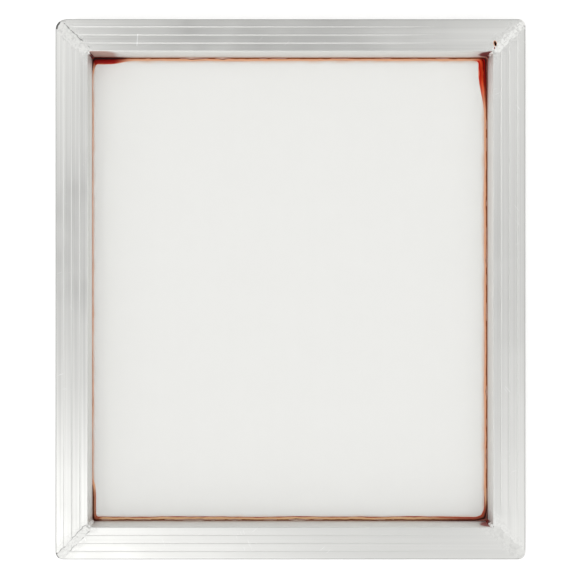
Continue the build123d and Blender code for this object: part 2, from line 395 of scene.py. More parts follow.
def dressed_weld(tree):
    """Ground filler metal with pores, frost, grime, painted shade on the rims and smears of adhesive."""
    place = add(tree, "TexCoord")["Object"]
    patches = noise(tree, place, DISC_PATCH, 4.0, 0.6, 0.6)
    strokes = noise(tree, place, DISC_STROKE, 2.0, 0.5, 1.5)
    pores = add(tree, "TexVoronoi", {"Vector": place, "Scale": 1 / PORE_SPACING}, feature="F1")["Distance"]
    pores = spread(tree, pores, 0.03, 0.08, 0.3, 0.0)
    metal = ramp(tree, patches, (0.30, "DADAD8"), (0.44, "E0E0DE"), (0.60, "E8E8E6"))
    frost = add(tree, "Attribute", attribute_name="frost")["Fac"]
    mottle = noise(tree, place, GRIND_MARK, 3.0, 0.6, 0.8)
    frost = calc(tree, "MULTIPLY", frost, spread(tree, mottle, 0.39, 0.54, 0.05, 0.9))
    metal = blend(tree, frost, metal, linear("FAFAF8"))
    # This holds real grime along the face welds' edges and painted shade on the outer welds' rims; both turn
    # the metal grey.
    grime_and_shade = add(tree, "Attribute", attribute_name="grime_and_shade")["Fac"]
    rubbed = noise(tree, place, RUBBED_SPOT, 1.0)
    grime_and_shade = calc(tree, "MULTIPLY", grime_and_shade, spread(tree, rubbed, 0.42, 0.54, 1.0, 0.15))
    dark = calc(tree, "MAXIMUM", grime_and_shade, pores)
    colour = blend(tree, dark, metal, linear("6C6C6B"))
    smear = add(tree, "Attribute", attribute_name="smear")["Fac"]
    streak = add(tree, "Mapping", {"Vector": place, "Scale": (1.0, 1.0, 0.4)})[0]
    streak = noise(tree, streak, SMEAR_STREAK, 3.0)
    smear = spread(tree, calc(tree, "ADD", streak, smear), 0.98, 1.06)
    colour = blend(tree, smear, colour, ramp(tree, patches, (0.40, "3A0805"), (0.60, "8A2014")))
    relief = add(tree, "Mix", {0: 0.4, 2: patches, 3: strokes})[0]
    relief = calc(tree, "SUBTRACT", relief, calc(tree, "MULTIPLY", dark, 0.4))
    return {
        "Base Color": colour,
        "Metallic": calc(tree, "SUBTRACT", 1.0, calc(tree, "MAXIMUM", smear, frost)),
        "Roughness": spread(tree, strokes, 0.3, 0.7, 0.46, 0.60),
        "Normal": add(tree, "Bump", {"Height": relief, "Strength": 1.0, "Distance": 0.2 * MM})[0],
    }


WELD = surface("aluminium filler, ground with a flap disc", dressed_weld)
for corner in CORNERS:
    wear(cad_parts["base_weld_" + corner], WELD)


# %% [markdown]
# ### Red adhesive
# Frame adhesive is a clear resin coloured red by its hardener. A thin film of it looks orange over the
# white cloth and a thick one deep red. The crevice under the wall is nearly black, partly from the thick
# resin and partly as painted shade. It sets glossy.
# The bead's mesh carries two numbers that follow its surface: `reach`, from -1 at the top of the smear on
# the wall, through 0 in the crevice, to 1 at the edge on the cloth, and `pool`, which is 1 in the thick
# puddles. The colour comes from those. At the front the film is tan with a red edge, elsewhere orange,
# and the puddle that ran down from the back right corner is brighter and streaked.

# %% red adhesive
BAND_DRIFT = 14.3 * MM  # how often the bands of colour wander
PUDDLE_STREAK = 3.03 * MM
SKIN_RIPPLE = 4.17 * MM
FILM_PATCH = 11.1 * MM  # in the film under the rails


def bead_adhesive(tree):
    """Glossy resin, coloured by how thick it lies, with painted shade in the crevice."""
    place = add(tree, "TexCoord")["Object"]
    x, y = list(add(tree, "SeparateXYZ", {0: place}))[:2]
    reach = add(tree, "Attribute", attribute_name="reach")["Fac"]
    pool = add(tree, "Attribute", attribute_name="pool")["Fac"]
    across = spread(tree, reach, -1.0, 1.0)
    drift = spread(tree, noise(tree, place, BAND_DRIFT, 2.0), 0.3, 0.7, -0.04, 0.04)
    across = calc(tree, "ADD", across, drift)
    # In each ramp the bands round 0.5 are the crevice: nearly black partly because the resin is thickest
    # there, partly as painted shade.
    tan = ramp(
        tree,
        across,
        (0.00, "D0C0B4"),
        (0.32, "B88E78"),
        (0.42, "5A2410"),
        (0.60, "421404"),
        (0.67, "D8A47A"),
        (0.80, "F2CBA0"),
        (0.89, "E6B084"),
        (0.94, "A83A1E"),
        (1.00, "982C14"),
    )
    orange = ramp(
        tree,
        across,
        (0.00, "DCC4B8"),
        (0.32, "C08A74"),
        (0.42, "5A2212"),
        (0.60, "461604"),
        (0.67, "D08458"),
        (0.80, "F4BE9A"),
        (0.94, "F2BC9A"),
        (1.00, "D8987A"),
    )
    thin = blend(tree, spread(tree, y, -240 * MM, -215 * MM), tan, orange)
    dark = ramp(
        tree,
        across,
        (0.00, "A07468"),
        (0.12, "8A2C20"),
        (0.34, "520804"),
        (0.44, "160000"),
        (0.60, "260000"),
        (0.70, "860A05"),
        (0.92, "A81208"),
        (0.99, "DC8058"),
    )
    bright = ramp(
        tree,
        across,
        (0.00, "DCA89C"),
        (0.25, "B4685C"),
        (0.44, "5A120C"),
        (0.48, "120101"),
        (0.54, "120101"),
        (0.60, "A00C06"),
        (0.64, "A80E08"),
        (0.68, "3A0402"),
        (0.74, "D84020"),
        (0.83, "E85028"),
        (0.91, "C01006"),
        (0.96, "C82010"),
        (1.00, "F0A080"),
    )
    streak = add(tree, "Mapping", {"Vector": place, "Scale": (1.0, 0.12, 1.0)})[0]
    streak = spread(tree, noise(tree, streak, PUDDLE_STREAK, 1.0), 0.40, 0.60, 0.0, 0.5)
    bright = blend(tree, streak, bright, dark)
    back_right = calc(tree, "MULTIPLY", spread(tree, x, 0.0, 100 * MM), spread(tree, y, 0.0, 100 * MM))
    thick = blend(tree, back_right, dark, bright)
    colour = blend(tree, pool, thin, thick)
    ripple = noise(tree, place, SKIN_RIPPLE, 2.0)
    return {
        "Base Color": colour,
        "Roughness": 0.2,
        "IOR": 1.5,
        "Specular IOR Level": 0.08,
        "Normal": add(tree, "Bump", {"Height": ripple, "Strength": 0.5, "Distance": 0.1 * MM})[0],
    }


ADHESIVE = surface("two-part adhesive, red, set glossy", bead_adhesive)


def squeezed_film(tree):
    """The same resin pressed flat between rail and mesh, darker where it is thicker."""
    patches = noise(tree, add(tree, "TexCoord")["Object"], FILM_PATCH, 3.0)
    return {
        "Base Color": ramp(tree, patches, (0.35, "6E1208"), (0.65, "A8341C")),
        "Roughness": spread(tree, patches, 0.3, 0.7, 0.25, 0.4),
        "IOR": 1.5,
    }


FILM_UNDER_RAILS = surface("two-part adhesive, red, squeezed to a film", squeezed_film)
for side in ("back", "front", "left", "right"):
    wear(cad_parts["glue_film_" + side], FILM_UNDER_RAILS)


# %% [markdown]
# ### Polyester mesh
# The cloth is plain-woven from white polyester monofilament, about 40 threads to the centimetre, which
# is far too fine to show from here. It is drawn with threads 2.4 mm apart and very faint, so that a close
# view still reads as woven. Nearly half of real mesh is holes, so it lets light and the table through: it
# is evenly a little see-through. Where adhesive has soaked in it is closed, peach, and red on the rails.

# %% polyester mesh
THREAD = 2.4 * MM
SLUB = (111 * MM, 2 * MM)  # length and spacing of the threads that are a little thicker
SOAK = 7 * MM  # how far from the wall the peach tint reaches
DRY_LEFT = 4 * MM  # and how much less it reaches along the left wall
SOAK_WANDER = 16.7 * MM  # how often its edge wanders
OPEN_CLOTH = 0.72  # how much of the view the bare cloth covers


def polyester_mesh(tree):
    """White monofilament cloth, stained along the walls and soaked red on the rails."""
    place = add(tree, "TexCoord")["Object"]
    x, y = list(add(tree, "SeparateXYZ", {0: place}))[:2]
    waves = []
    for axis in (x, y):
        waves.append(calc(tree, "SINE", calc(tree, "MULTIPLY", axis, 2 * math.pi / THREAD)))
    weave = spread(tree, calc(tree, "MULTIPLY", waves[0], waves[1]), -1.0, 1.0)
    slubs = []
    length, spacing = SLUB
    for scale in ((1 / length, 1 / spacing, 1.0), (1 / spacing, 1 / length, 1.0)):
        slubs.append(noise(tree, add(tree, "Mapping", {"Vector": place, "Scale": scale})[0], 1.0, 2.0))
    slub = calc(tree, "MULTIPLY", calc(tree, "ADD", slubs[0], slubs[1]), 0.5)
    grain = add(tree, "Mix", {0: 0.4, 2: slub, 3: weave})[0]
    white = ramp(tree, grain, (0.25, "F0F0EE"), (0.75, "F4F4F2"))

    inside_x = calc(tree, "SUBTRACT", WELL.x, calc(tree, "ABSOLUTE", x))
    inside_y = calc(tree, "SUBTRACT", WELL.y, calc(tree, "ABSOLUTE", y))
    inside_x = calc(tree, "ADD", inside_x, spread(tree, x, -100 * MM, 0.0, DRY_LEFT, 0.0))
    inside = calc(tree, "MINIMUM", inside_x, inside_y)
    creep = spread(tree, noise(tree, place, SOAK_WANDER, 3.0), 0.3, 0.7, -1 * MM, 1 * MM)
    inside = calc(tree, "ADD", inside, creep)
    soaked = spread(tree, inside, -4 * MM, SOAK)
    stain = ramp(
        tree, soaked, (0.10, "8E2414"), (0.34, "B4532F"), (0.56, "EEBEA4"), (0.74, "F8E8DE"), (1.0, "FFFFFF")
    )
    return {
        "Base Color": blend(tree, 1.0, white, stain, "MULTIPLY"),
        "Roughness": 0.62,
        "Alpha": spread(tree, soaked, 0.5, 1.0, 1.0, OPEN_CLOTH),
        "Normal": add(tree, "Bump", {"Height": grain, "Strength": 0.4, "Distance": 0.08 * MM})[0],
        "Sheen Weight": 0.1,
    }


CLOTH = surface("polyester monofilament, plain woven, white", polyester_mesh)


# %% [markdown]
# ## Modelling helpers
# Every piece starts with nothing else selected. `pick` then chooses vertices, edges or faces by their
# place, as clicking would. `soft` makes an operator's pull fade out around what was picked. `numbers` and
# `weights` store one value for each vertex, for a material or a modifier to read, and `press` applies a
# modifier.

# %% modelling helpers
def start_clean():
    """Leaves edit mode and deselects everything, so that an operator acts on the next piece alone."""
    if bpy.context.object and bpy.context.object.mode != "OBJECT":
        bpy.ops.object.mode_set(mode="OBJECT")
    bpy.ops.object.select_all(action="DESELECT")


def pick(piece, kind, wanted):
    """In edit mode, selects the vertices, edges or faces that wanted() accepts, and returns how many."""
    bpy.ops.mesh.select_mode(type=kind)
    bpy.ops.mesh.select_all(action="DESELECT")
    shape = bmesh.from_edit_mesh(piece.data)
    parts = {"VERT": shape.verts, "EDGE": shape.edges, "FACE": shape.faces}[kind]
    chosen = [part for part in parts if wanted(part)]
    for part in chosen:
        part.select = True
    shape.select_flush_mode()
    bmesh.update_edit_mesh(piece.data)
    return len(chosen)


def soft(reach, connected=True):
    """Settings that let an operator's pull fade out over this distance from what is picked."""
    return {
        "use_proportional_edit": True,
        "use_proportional_connected": connected,
        "proportional_edit_falloff": "SMOOTH",
        "proportional_size": reach,
    }


def keep_below(plane_point, outward):
    """In edit mode, cuts off everything beyond a plane."""
    bpy.ops.mesh.select_all(action="SELECT")
    bpy.ops.mesh.bisect(plane_co=plane_point, plane_no=outward, clear_outer=True)


def numbers(piece, name, values):
    """Stores one number per vertex, for a material to read."""
    piece.data.attributes.new(name, "FLOAT", "POINT")
    piece.data.attributes[name].data.foreach_set("value", values)


def weights(piece, name, values):
    """Stores one weight per vertex, for a modifier to read."""
    group = piece.vertex_groups.new(name=name)
    for index, value in enumerate(values):
        group.add([index], value, "REPLACE")


def clouds(name, size, depth=2):
    """A cloud texture for the Displace modifier, with features of this size."""
    texture = bpy.data.textures.new(name, "CLOUDS")
    texture.noise_scale = size
    texture.noise_depth = depth
    return texture


def press(piece, kind, **settings):
    """Adds a modifier to a piece and applies it."""
    modifier = piece.modifiers.new(kind.title(), kind)
    for name, value in settings.items():
        setattr(modifier, name, value)
    bpy.context.view_layer.objects.active = piece
    bpy.ops.object.modifier_apply(modifier=modifier.name)


def thicken_down(piece, thickness):
    """Turns an open sheet's faces up, and gives it a thickness below them."""
    if sum(face.normal.z for face in piece.data.polygons) < 0:
        piece.data.flip_normals()
    press(piece, "SOLIDIFY", thickness=thickness, offset=-1)


def settle(piece, material, crease=40):
    """Ends a piece: smooth shading but for sharp creases, its material and its body."""
    start_clean()
    piece.select_set(True)
    bpy.context.view_layer.objects.active = piece
    bpy.ops.object.shade_smooth_by_angle(angle=math.radians(crease))
    wear(piece, material)
    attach(piece, "root")
    piece.data.calc_loop_triangles()
    print(piece.name, len(piece.data.loop_triangles), "triangles")


def fall_off(beyond, taper):
    """1 up to a limit, then smoothly down to 0 over the taper."""
    share = min(1.0, max(0.0, 1 - beyond / taper))
    return share * share * (3 - 2 * share)


# %% [markdown]
# ## The cloth
# A grid of the cloth's cut size, with its corners cut off by bisecting, and a thickness of one thread.

# %% the cloth
cloth_low, cloth_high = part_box("mesh_fabric")
cloth_size = cloth_high - cloth_low
CORNER_CUT = 16 * MM
start_clean()
bpy.ops.mesh.primitive_grid_add(x_subdivisions=84, y_subdivisions=96, size=1)
cloth = bpy.context.object
cloth.name = "cloth"
bpy.ops.object.mode_set(mode="EDIT")
bpy.ops.transform.resize(value=(cloth_size.x, cloth_size.y, 1))
bpy.ops.transform.translate(value=(0, 0, cloth_high.z))
for sign_x, sign_y in CORNERS.values():
    keep_below((sign_x * (cloth_high.x - CORNER_CUT), sign_y * cloth_high.y, 0), (sign_x, sign_y, 0))
bpy.ops.object.mode_set(mode="OBJECT")
press(cloth, "SOLIDIFY", thickness=cloth_size.z, offset=-1)
settle(cloth, CLOTH)
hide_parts("mesh_fabric")

# %% [markdown]
# ## The bead of adhesive
# The adhesive is one ring that runs round the foot of all four walls: a thin lip on the cloth, a rounded
# crevice, and a smear up the wall. A plane the size of the well is inset to make the lip, its outer edge
# is extruded up the wall, and both are subdivided. `reach` is stored now, while each row is still where
# it was made, and follows the surface through every later pull.

# %% the ring's lip and wall film
FILM = 0.3 * MM  # how thick the ring is on the wall and on the cloth
LIP = 3.7 * MM  # how far it reaches over the cloth
CLIMB = 2.4 * MM  # and up the wall
WALL_ROWS = 4
LIP_ROWS = 7
STEPS = 170  # cuts along each side


def from_wall(place):
    """How far a point is from the nearest inner wall."""
    return min(WELL.x - abs(place.x), WELL.y - abs(place.y))


def nearest_side(place):
    """The rail whose inner wall is nearest."""
    if WELL.x - abs(place.x) < WELL.y - abs(place.y):
        return "left" if place.x < 0 else "right"
    return "front" if place.y < 0 else "back"


def is_mitre(edge):
    """True for an edge that crosses the lip from corner to corner."""
    gap = edge.verts[0].co - edge.verts[1].co
    return min(abs(gap.x), abs(gap.y)) > 0.1 * MM


start_clean()
bpy.ops.mesh.primitive_plane_add(size=2)
bead = bpy.context.object
bead.name = "adhesive_bead"
bpy.ops.object.mode_set(mode="EDIT")
bpy.ops.transform.resize(value=(WELL.x - FILM, WELL.y - FILM, 1))
bpy.ops.transform.translate(value=(0, 0, CLOTH_TOP + FILM))
bpy.ops.mesh.inset(thickness=LIP - FILM)
bpy.ops.mesh.delete(type="FACE")
pick(bead, "EDGE", is_mitre)
bpy.ops.mesh.subdivide(number_cuts=LIP_ROWS - 1)
pick(bead, "EDGE", lambda e: not is_mitre(e))
bpy.ops.mesh.subdivide(number_cuts=STEPS)
pick(bead, "VERT", lambda v: from_wall(v.co) < FILM + HAIR)
for _ in range(WALL_ROWS):
    bpy.ops.mesh.extrude_region_move(TRANSFORM_OT_translate={"value": (0, 0, (CLIMB - FILM) / WALL_ROWS)})
bpy.ops.object.mode_set(mode="OBJECT")
reaches = []
for vertex in bead.data.vertices:
    up = (vertex.co.z - CLOTH_TOP - FILM) / (CLIMB - FILM)
    out = (from_wall(vertex.co) - FILM) / (LIP - FILM)
    reaches.append(-up if up > 0.01 else out)
print("bead starts with", len(bead.data.vertices), "vertices")

# %% [markdown]
# The crevice row is drawn inwards and up, which rounds the inside of the bend. Then each puddle: a stretch
# of the ring is scaled away from the wall's foot with proportional editing, so it tapers out by itself.
# The left wall has hardly any adhesive except at its two ends, so its middle is scaled down instead.

# %% crevice, puddles and the thin left side
CREVICE = 0.8 * MM  # how far the foot of the wall is filled out


def shrink_from_wall(gap):
    """The scale that moves a ring from FILM away from the walls to FILM and this gap away."""
    return ((WELL.x - FILM - gap) / (WELL.x - FILM), (WELL.y - FILM - gap) / (WELL.y - FILM), 1)


bpy.ops.object.mode_set(mode="EDIT")
pick(bead, "VERT", lambda v: from_wall(v.co) < FILM + HAIR and v.co.z < CLOTH_TOP + FILM + HAIR)
bpy.ops.transform.resize(value=shrink_from_wall(CREVICE), center_override=(0, 0, 0))
bpy.ops.transform.translate(value=(0, 0, CREVICE * 0.6))

STRETCHES = [
    # corner, wall, start and end from the corner, wider, taller, taper
    ("front_left", "front", 10 * MM, 420 * MM, 1.32, 1.0, 20 * MM),
    ("front_left", "left", 44 * MM, 505 * MM, 0.22, 0.6, 12 * MM),
    ("back_left", "back", 0 * MM, 21 * MM, 2.05, 2.2, 24 * MM),
    ("back_right", "right", 0 * MM, 20 * MM, 2.8, 1.3, 46 * MM),
    ("back_right", "right", 0 * MM, 5 * MM, 1.0, 1.9, 12 * MM),
    ("back_right", "back", 0 * MM, 5 * MM, 1.15, 3.6, 8 * MM),
    ("front_right", "front", 0 * MM, 3 * MM, 1.1, 2.0, 9 * MM),
    ("front_right", "right", 0 * MM, 3 * MM, 1.1, 2.0, 9 * MM),
    ("front_left", "left", 0 * MM, 27 * MM, 1.18, 1.0, 7 * MM),
]


def along_wall(place, corner, side):
    """How far a point is from a corner of the well, measured along one of its walls."""
    sign_x, sign_y = CORNERS[corner]
    if side in ("back", "front"):
        return WELL.x - sign_x * place.x
    return WELL.y - sign_y * place.y


for corner, side, start, end, wider, taller, taper in STRETCHES:
    foot = {"back": (0, WELL.y), "front": (0, -WELL.y), "left": (-WELL.x, 0), "right": (WELL.x, 0)}[side]
    pick(
        bead, "VERT", lambda v: nearest_side(v.co) == side and start <= along_wall(v.co, corner, side) <= end
    )
    bpy.ops.transform.resize(
        value=(wider if foot[0] else 1, wider if foot[1] else 1, taller),
        center_override=(*foot, CLOTH_TOP),
        **soft(taper),
    )

# The front right corner of the lip is drawn in, where the adhesive ran round it.
corner_of_lip = Vector((WELL.x - LIP, -WELL.y + LIP, CLOTH_TOP + FILM))
nearest = min((v.co - corner_of_lip).length for v in bmesh.from_edit_mesh(bead.data).verts)
pick(bead, "VERT", lambda v: (v.co - corner_of_lip).length < nearest + 1.5 * MM)
bpy.ops.transform.translate(value=(-3 * MM, 3 * MM, 0), **soft(11 * MM))

# %% [markdown]
# The puddles' depth is stored next, from the final shape: a patch beside each corner, with its length
# along both walls and how quickly it fades.

# %% how thick the adhesive lies
PUDDLES = [
    # corner, reach along x and y from it, fade along x and y, depth
    ("back_left", (24 * MM, 10 * MM), (26 * MM, 3 * MM), 1.0),
    ("back_right", (10 * MM, 22 * MM), (3 * MM, 52 * MM), 1.0),
    ("front_right", (18 * MM, 12 * MM), (75 * MM, 16 * MM), 0.85),
    ("front_left", (6 * MM, 30 * MM), (2 * MM, 6 * MM), 0.55),
    ("front_left", (7 * MM, 7 * MM), (4 * MM, 4 * MM), 0.8),
]
bpy.ops.object.mode_set(mode="OBJECT")
pools = []
tints = list(reaches)
for vertex in bead.data.vertices:
    deep = 0.0
    for corner, reach, fade, depth in PUDDLES:
        beyond_x = along_wall(vertex.co, corner, "back") - reach[0]
        beyond_y = along_wall(vertex.co, corner, "left") - reach[1]
        deep = max(deep, depth * fall_off(beyond_x, fade[0]) * fall_off(beyond_y, fade[1]))
    pools.append(deep)
    if nearest_side(vertex.co) == "left":
        # Only a thin pale orange line is left along this wall, so the other bands are blended out.
        bare = fall_off(40 * MM - along_wall(vertex.co, "front_left", "left"), 8 * MM)
        bare *= fall_off(16 * MM - along_wall(vertex.co, "back_left", "left"), 8 * MM)
        tints[vertex.index] += bare * (0.55 - tints[vertex.index]) * 0.85
numbers(bead, "pool", pools)
numbers(bead, "reach", tints)
weights(bead, "loose", [max(0.0, value) ** 2 for value in reaches])
weights(bead, "rising", [max(0.0, -value) for value in reaches])
weights(bead, "puddle", [deep * max(0.0, 1 - value * value) for deep, value in zip(pools, reaches)])

# %% [markdown]
# The lip's edge is dropped to the cloth, the film's top edge is pushed back to the wall and down to the
# wall's foot, and the two loops are bridged, which closes the ring. Displace modifiers make the edges
# wander and the puddles swell, and a subdivision rounds everything.

# %% the ring is closed and finished
bpy.ops.object.mode_set(mode="EDIT")
shape = bmesh.from_edit_mesh(bead.data)
shape.verts.ensure_lookup_table()
open_ends = {v.index for e in shape.edges if len(e.link_faces) == 1 for v in e.verts}
wall_ends = {i for i in open_ends if reaches[i] < 0}
lip_ends = open_ends - wall_ends
print("open loops", len(lip_ends), len(wall_ends))
pick(bead, "VERT", lambda v: v.index in wall_ends)
bpy.ops.mesh.extrude_region_move()
bpy.ops.transform.resize(value=shrink_from_wall(-FILM), center_override=(0, 0, 0))
bpy.ops.mesh.extrude_region_move()
bpy.ops.transform.resize(value=(1, 1, 0), center_override=(0, 0, CLOTH_TOP))
pick(bead, "VERT", lambda v: v.index in lip_ends)
bpy.ops.mesh.extrude_region_move()
bpy.ops.transform.resize(value=(1, 1, 0), center_override=(0, 0, CLOTH_TOP))
pick(bead, "EDGE", lambda e: len(e.link_faces) == 1)
bpy.ops.mesh.bridge_edge_loops()
bpy.ops.mesh.select_all(action="SELECT")
bpy.ops.mesh.normals_make_consistent(inside=False)
bpy.ops.object.mode_set(mode="OBJECT")
for name, axis, size, strength, group in (
    ("slow x", "X", 45 * MM, 1.8 * MM, "loose"),
    ("slow y", "Y", 40 * MM, 1.8 * MM, "loose"),
    ("quick x", "X", 7 * MM, 0.5 * MM, "loose"),
    ("quick y", "Y", 6 * MM, 0.5 * MM, "loose"),
    ("smear height", "Z", 14 * MM, 2.4 * MM, "rising"),
):
    press(bead, "DISPLACE", texture=clouds(name, size), strength=strength, direction=axis, vertex_group=group)
press(bead, "DISPLACE", strength=1.1 * MM, mid_level=0.0, direction="Z", vertex_group="puddle")
press(bead, "SUBSURF", levels=1, render_levels=1)
settle(bead, ADHESIVE, 180)
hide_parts("glue_bead_back", "glue_bead_front", "glue_bead_left", "glue_bead_right")

# %% [markdown]
# ## Weld metal
# Each corner has three visible welds. The one on the upper face is a ragged-edged strip over the mitre: a
# grid laid along the mitre, raised in the middle, its edges left just under the rail's surface, then
# roughened by displacement and trimmed to the rounded corner by a fan of cuts. Each strip's width, its
# place and its lean differ, because each was ground by hand.

# %% face welds
FACE_WELDS = {
    # corner: width, offset and lean towards the side rail, crown, lump height and size, grime on both
    # sides, frost, room left for the rim
    "back_left": (17 * MM, 2.2 * MM, 2.5, 0.12 * MM, 0.35 * MM, 4 * MM, (0.15, 0.9), 0.55, 2.4 * MM),
    "back_right": (11.5 * MM, 1.1 * MM, 1.0, 0.12 * MM, 1.20 * MM, 3.2 * MM, (0.0, 0.1), 1.0, 0.5 * MM),
    "front_left": (10.5 * MM, -0.6 * MM, 0.0, 0.20 * MM, 0.30 * MM, 3 * MM, (0.7, 0.7), 0.8, 1.3 * MM),
    "front_right": (12.0 * MM, 1.0 * MM, 1.0, 0.06 * MM, 0.10 * MM, 5 * MM, (0.0, 0.0), 0.0, 0.5 * MM),
}
SUNK = 0.10 * MM  # how far the strip's edges lie under the rail's surface
RAGGED = 5 * MM  # how far its edges wander
STRIP = 0.8 * MM  # how thick it is
GRIME_LINE = 0.74  # where grime sits, as a share of the way from the middle to an edge


def mitre_directions(corner):
    """From the corner of the well out to the frame's outer corner, and across that towards the side rail."""
    sign_x, sign_y = CORNERS[corner]
    return Vector((sign_x, sign_y, 0)).normalized(), Vector((sign_x, -sign_y, 0)).normalized()


def trim_to_corner(corner, inset):
    """In edit mode, cuts the piece off inside the frame's straight sides and round its corner."""
    sign_x, sign_y = CORNERS[corner]
    low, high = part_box("outer_weld_" + corner)
    radius = high.x - low.x
    centre = corner_point(OUTER - Vector((radius, radius)), corner)
    for step in range(7):
        turn = math.radians(15 * step)
        outward = Vector((sign_x * math.cos(turn), sign_y * math.sin(turn), 0))
        keep_below(centre + outward * (radius - inset), outward)


def face_weld(corner, width, offset, lean, crown, lumps, lump_size, grime_and_shade, frost, room):
    """The dressed strip of weld over one mitre."""
    sign_x, sign_y = CORNERS[corner]
    outward, sideways = mitre_directions(corner)
    inner = corner_point(WELL, corner, RAIL_TOP - SUNK)
    outer = corner_point(OUTER, corner, RAIL_TOP - SUNK)
    turn = math.atan2(outward.y, outward.x) - sign_x * sign_y * math.radians(lean)
    along = Vector((math.cos(turn), math.sin(turn), 0))
    across = sideways - sideways.project(along)
    across.normalize()
    middle = (inner + outer) / 2 + across * offset
    start_clean()
    bpy.ops.mesh.primitive_grid_add(
        x_subdivisions=72, y_subdivisions=24, size=1, location=middle, rotation=(0, 0, turn)
    )
    weld = bpy.context.object
    weld.name = "weld_face_" + corner
    weld.scale = ((outer - inner).length + width, width, 1)
    bpy.ops.object.transform_apply(location=True, rotation=True, scale=True)
    half = width / 2
    bpy.ops.object.mode_set(mode="EDIT")
    pick(weld, "VERT", lambda v: abs((v.co - middle).dot(across)) < half * 0.55)
    bpy.ops.transform.translate(value=(0, 0, crown + SUNK), **soft(half * 0.5, connected=False))
    bpy.ops.object.mode_set(mode="OBJECT")
    shares = [(vertex.co - middle).dot(across) / half for vertex in weld.data.vertices]
    edges = [fall_off(abs(abs(share) - GRIME_LINE) - 0.03, 0.08) for share in shares]
    numbers(weld, "grime_and_shade", [edge * grime_and_shade[0 if share > 0 else 1] for edge, share in zip(edges, shares)])
    numbers(weld, "frost", [frost * fall_off(abs(share) - 0.70, 0.25) for share in shares])
    weights(weld, "border", [min(1.0, abs(share)) for share in shares])
    for axis, size in (("X", 6 * MM), ("Y", 5 * MM)):
        texture = clouds("ragged " + axis + corner, size)
        press(weld, "DISPLACE", texture=texture, strength=RAGGED, direction=axis, vertex_group="border")
    press(weld, "DISPLACE", texture=clouds("dressed " + corner, lump_size, 3), strength=lumps, direction="Z")
    bpy.ops.object.mode_set(mode="EDIT")
    trim_to_corner(corner, room)
    keep_below(inner + outward * 0.4 * MM, -outward)
    bpy.ops.object.mode_set(mode="OBJECT")
    thicken_down(weld, STRIP)
    settle(weld, WELD, 60)
    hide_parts("face_weld_" + corner)


for corner, sizes in FACE_WELDS.items():
    face_weld(corner, *sizes)

# %% [markdown]
# Beside some welds the rail itself was ground smooth, so its grooves fade out before the corner. A plate
# of the rail's own metal fills them: a grid over the end of the rail that lies almost flush, and dips at
# its far end so that the grooves come back bit by bit.

# %% ground ends of rails
GROUND_ENDS = [
    # corner, rail, reach from the well's corner, length of the dip
    ("back_right", "back", 42 * MM, 70 * MM),
    ("front_right", "front", 45 * MM, 60 * MM),
    ("front_right", "right", 12 * MM, 26 * MM),
]
FLUSH = 0.03 * MM  # how far a plate stands above the rail
DIP = 0.30 * MM  # and how far its end goes under, which is below the grooves
EDGE_ROOM = 1.1 * MM  # kept free for the rail's rounded edges
PLATE = 0.7 * MM  # how thick it is


def ground_end(corner, side, reach, dip):
    """A nearly flush plate over one end of a rail, which fills its grooves."""
    sign_x, sign_y = CORNERS[corner]
    inner = corner_point(WELL, corner)
    outer = corner_point(OUTER, corner)
    inwards, towards_well = Vector((-sign_x, 0, 0)), Vector((0, -sign_y, 0))
    if side in ("left", "right"):
        inwards, towards_well = towards_well, inwards
    far = inner + inwards * (reach + dip)
    start_clean()
    bpy.ops.mesh.primitive_grid_add(
        x_subdivisions=48,
        y_subdivisions=48,
        size=1,
        location=((far.x + outer.x) / 2, (far.y + outer.y) / 2, RAIL_TOP + FLUSH),
    )
    plate = bpy.context.object
    plate.name = "ground_end_" + side + "_at_" + corner
    plate.scale = (abs(far.x - outer.x), abs(far.y - outer.y), 1)
    bpy.ops.object.transform_apply(location=True, rotation=True, scale=True)
    bpy.ops.object.mode_set(mode="EDIT")
    pick(plate, "VERT", lambda v: (v.co - far).dot(inwards) > -0.1 * MM)
    bpy.ops.transform.translate(value=(0, 0, -DIP - FLUSH), **soft(dip, connected=False))
    keep_below(inner - towards_well * EDGE_ROOM, towards_well)
    keep_below(inner, (towards_well - inwards).normalized())
    trim_to_corner(corner, EDGE_ROOM)
    bpy.ops.object.mode_set(mode="OBJECT")
    thicken_down(plate, PLATE)
    settle(plate, MILL[side], 60)


for corner, side, reach, dip in GROUND_ENDS:
    ground_end(corner, side, reach, dip)

# %% [markdown]
# The outside of each corner was ground round from top to bottom. It is a quarter of a cylinder of the
# corner's own radius, with its rim bevelled like the rails' edges. A voxel remesh gives it an even skin,
# which a displacement then makes slightly faceted. Painted shade darkens the rim, most on the two left ones.

# %% outer welds
RIM_BEVEL = 1.0 * MM
SKIN = 0.45 * MM  # size of a face after the remesh
RIM_SHADE = {"back_left": 1.5, "back_right": 0.6, "front_left": 1.6, "front_right": 0.6}


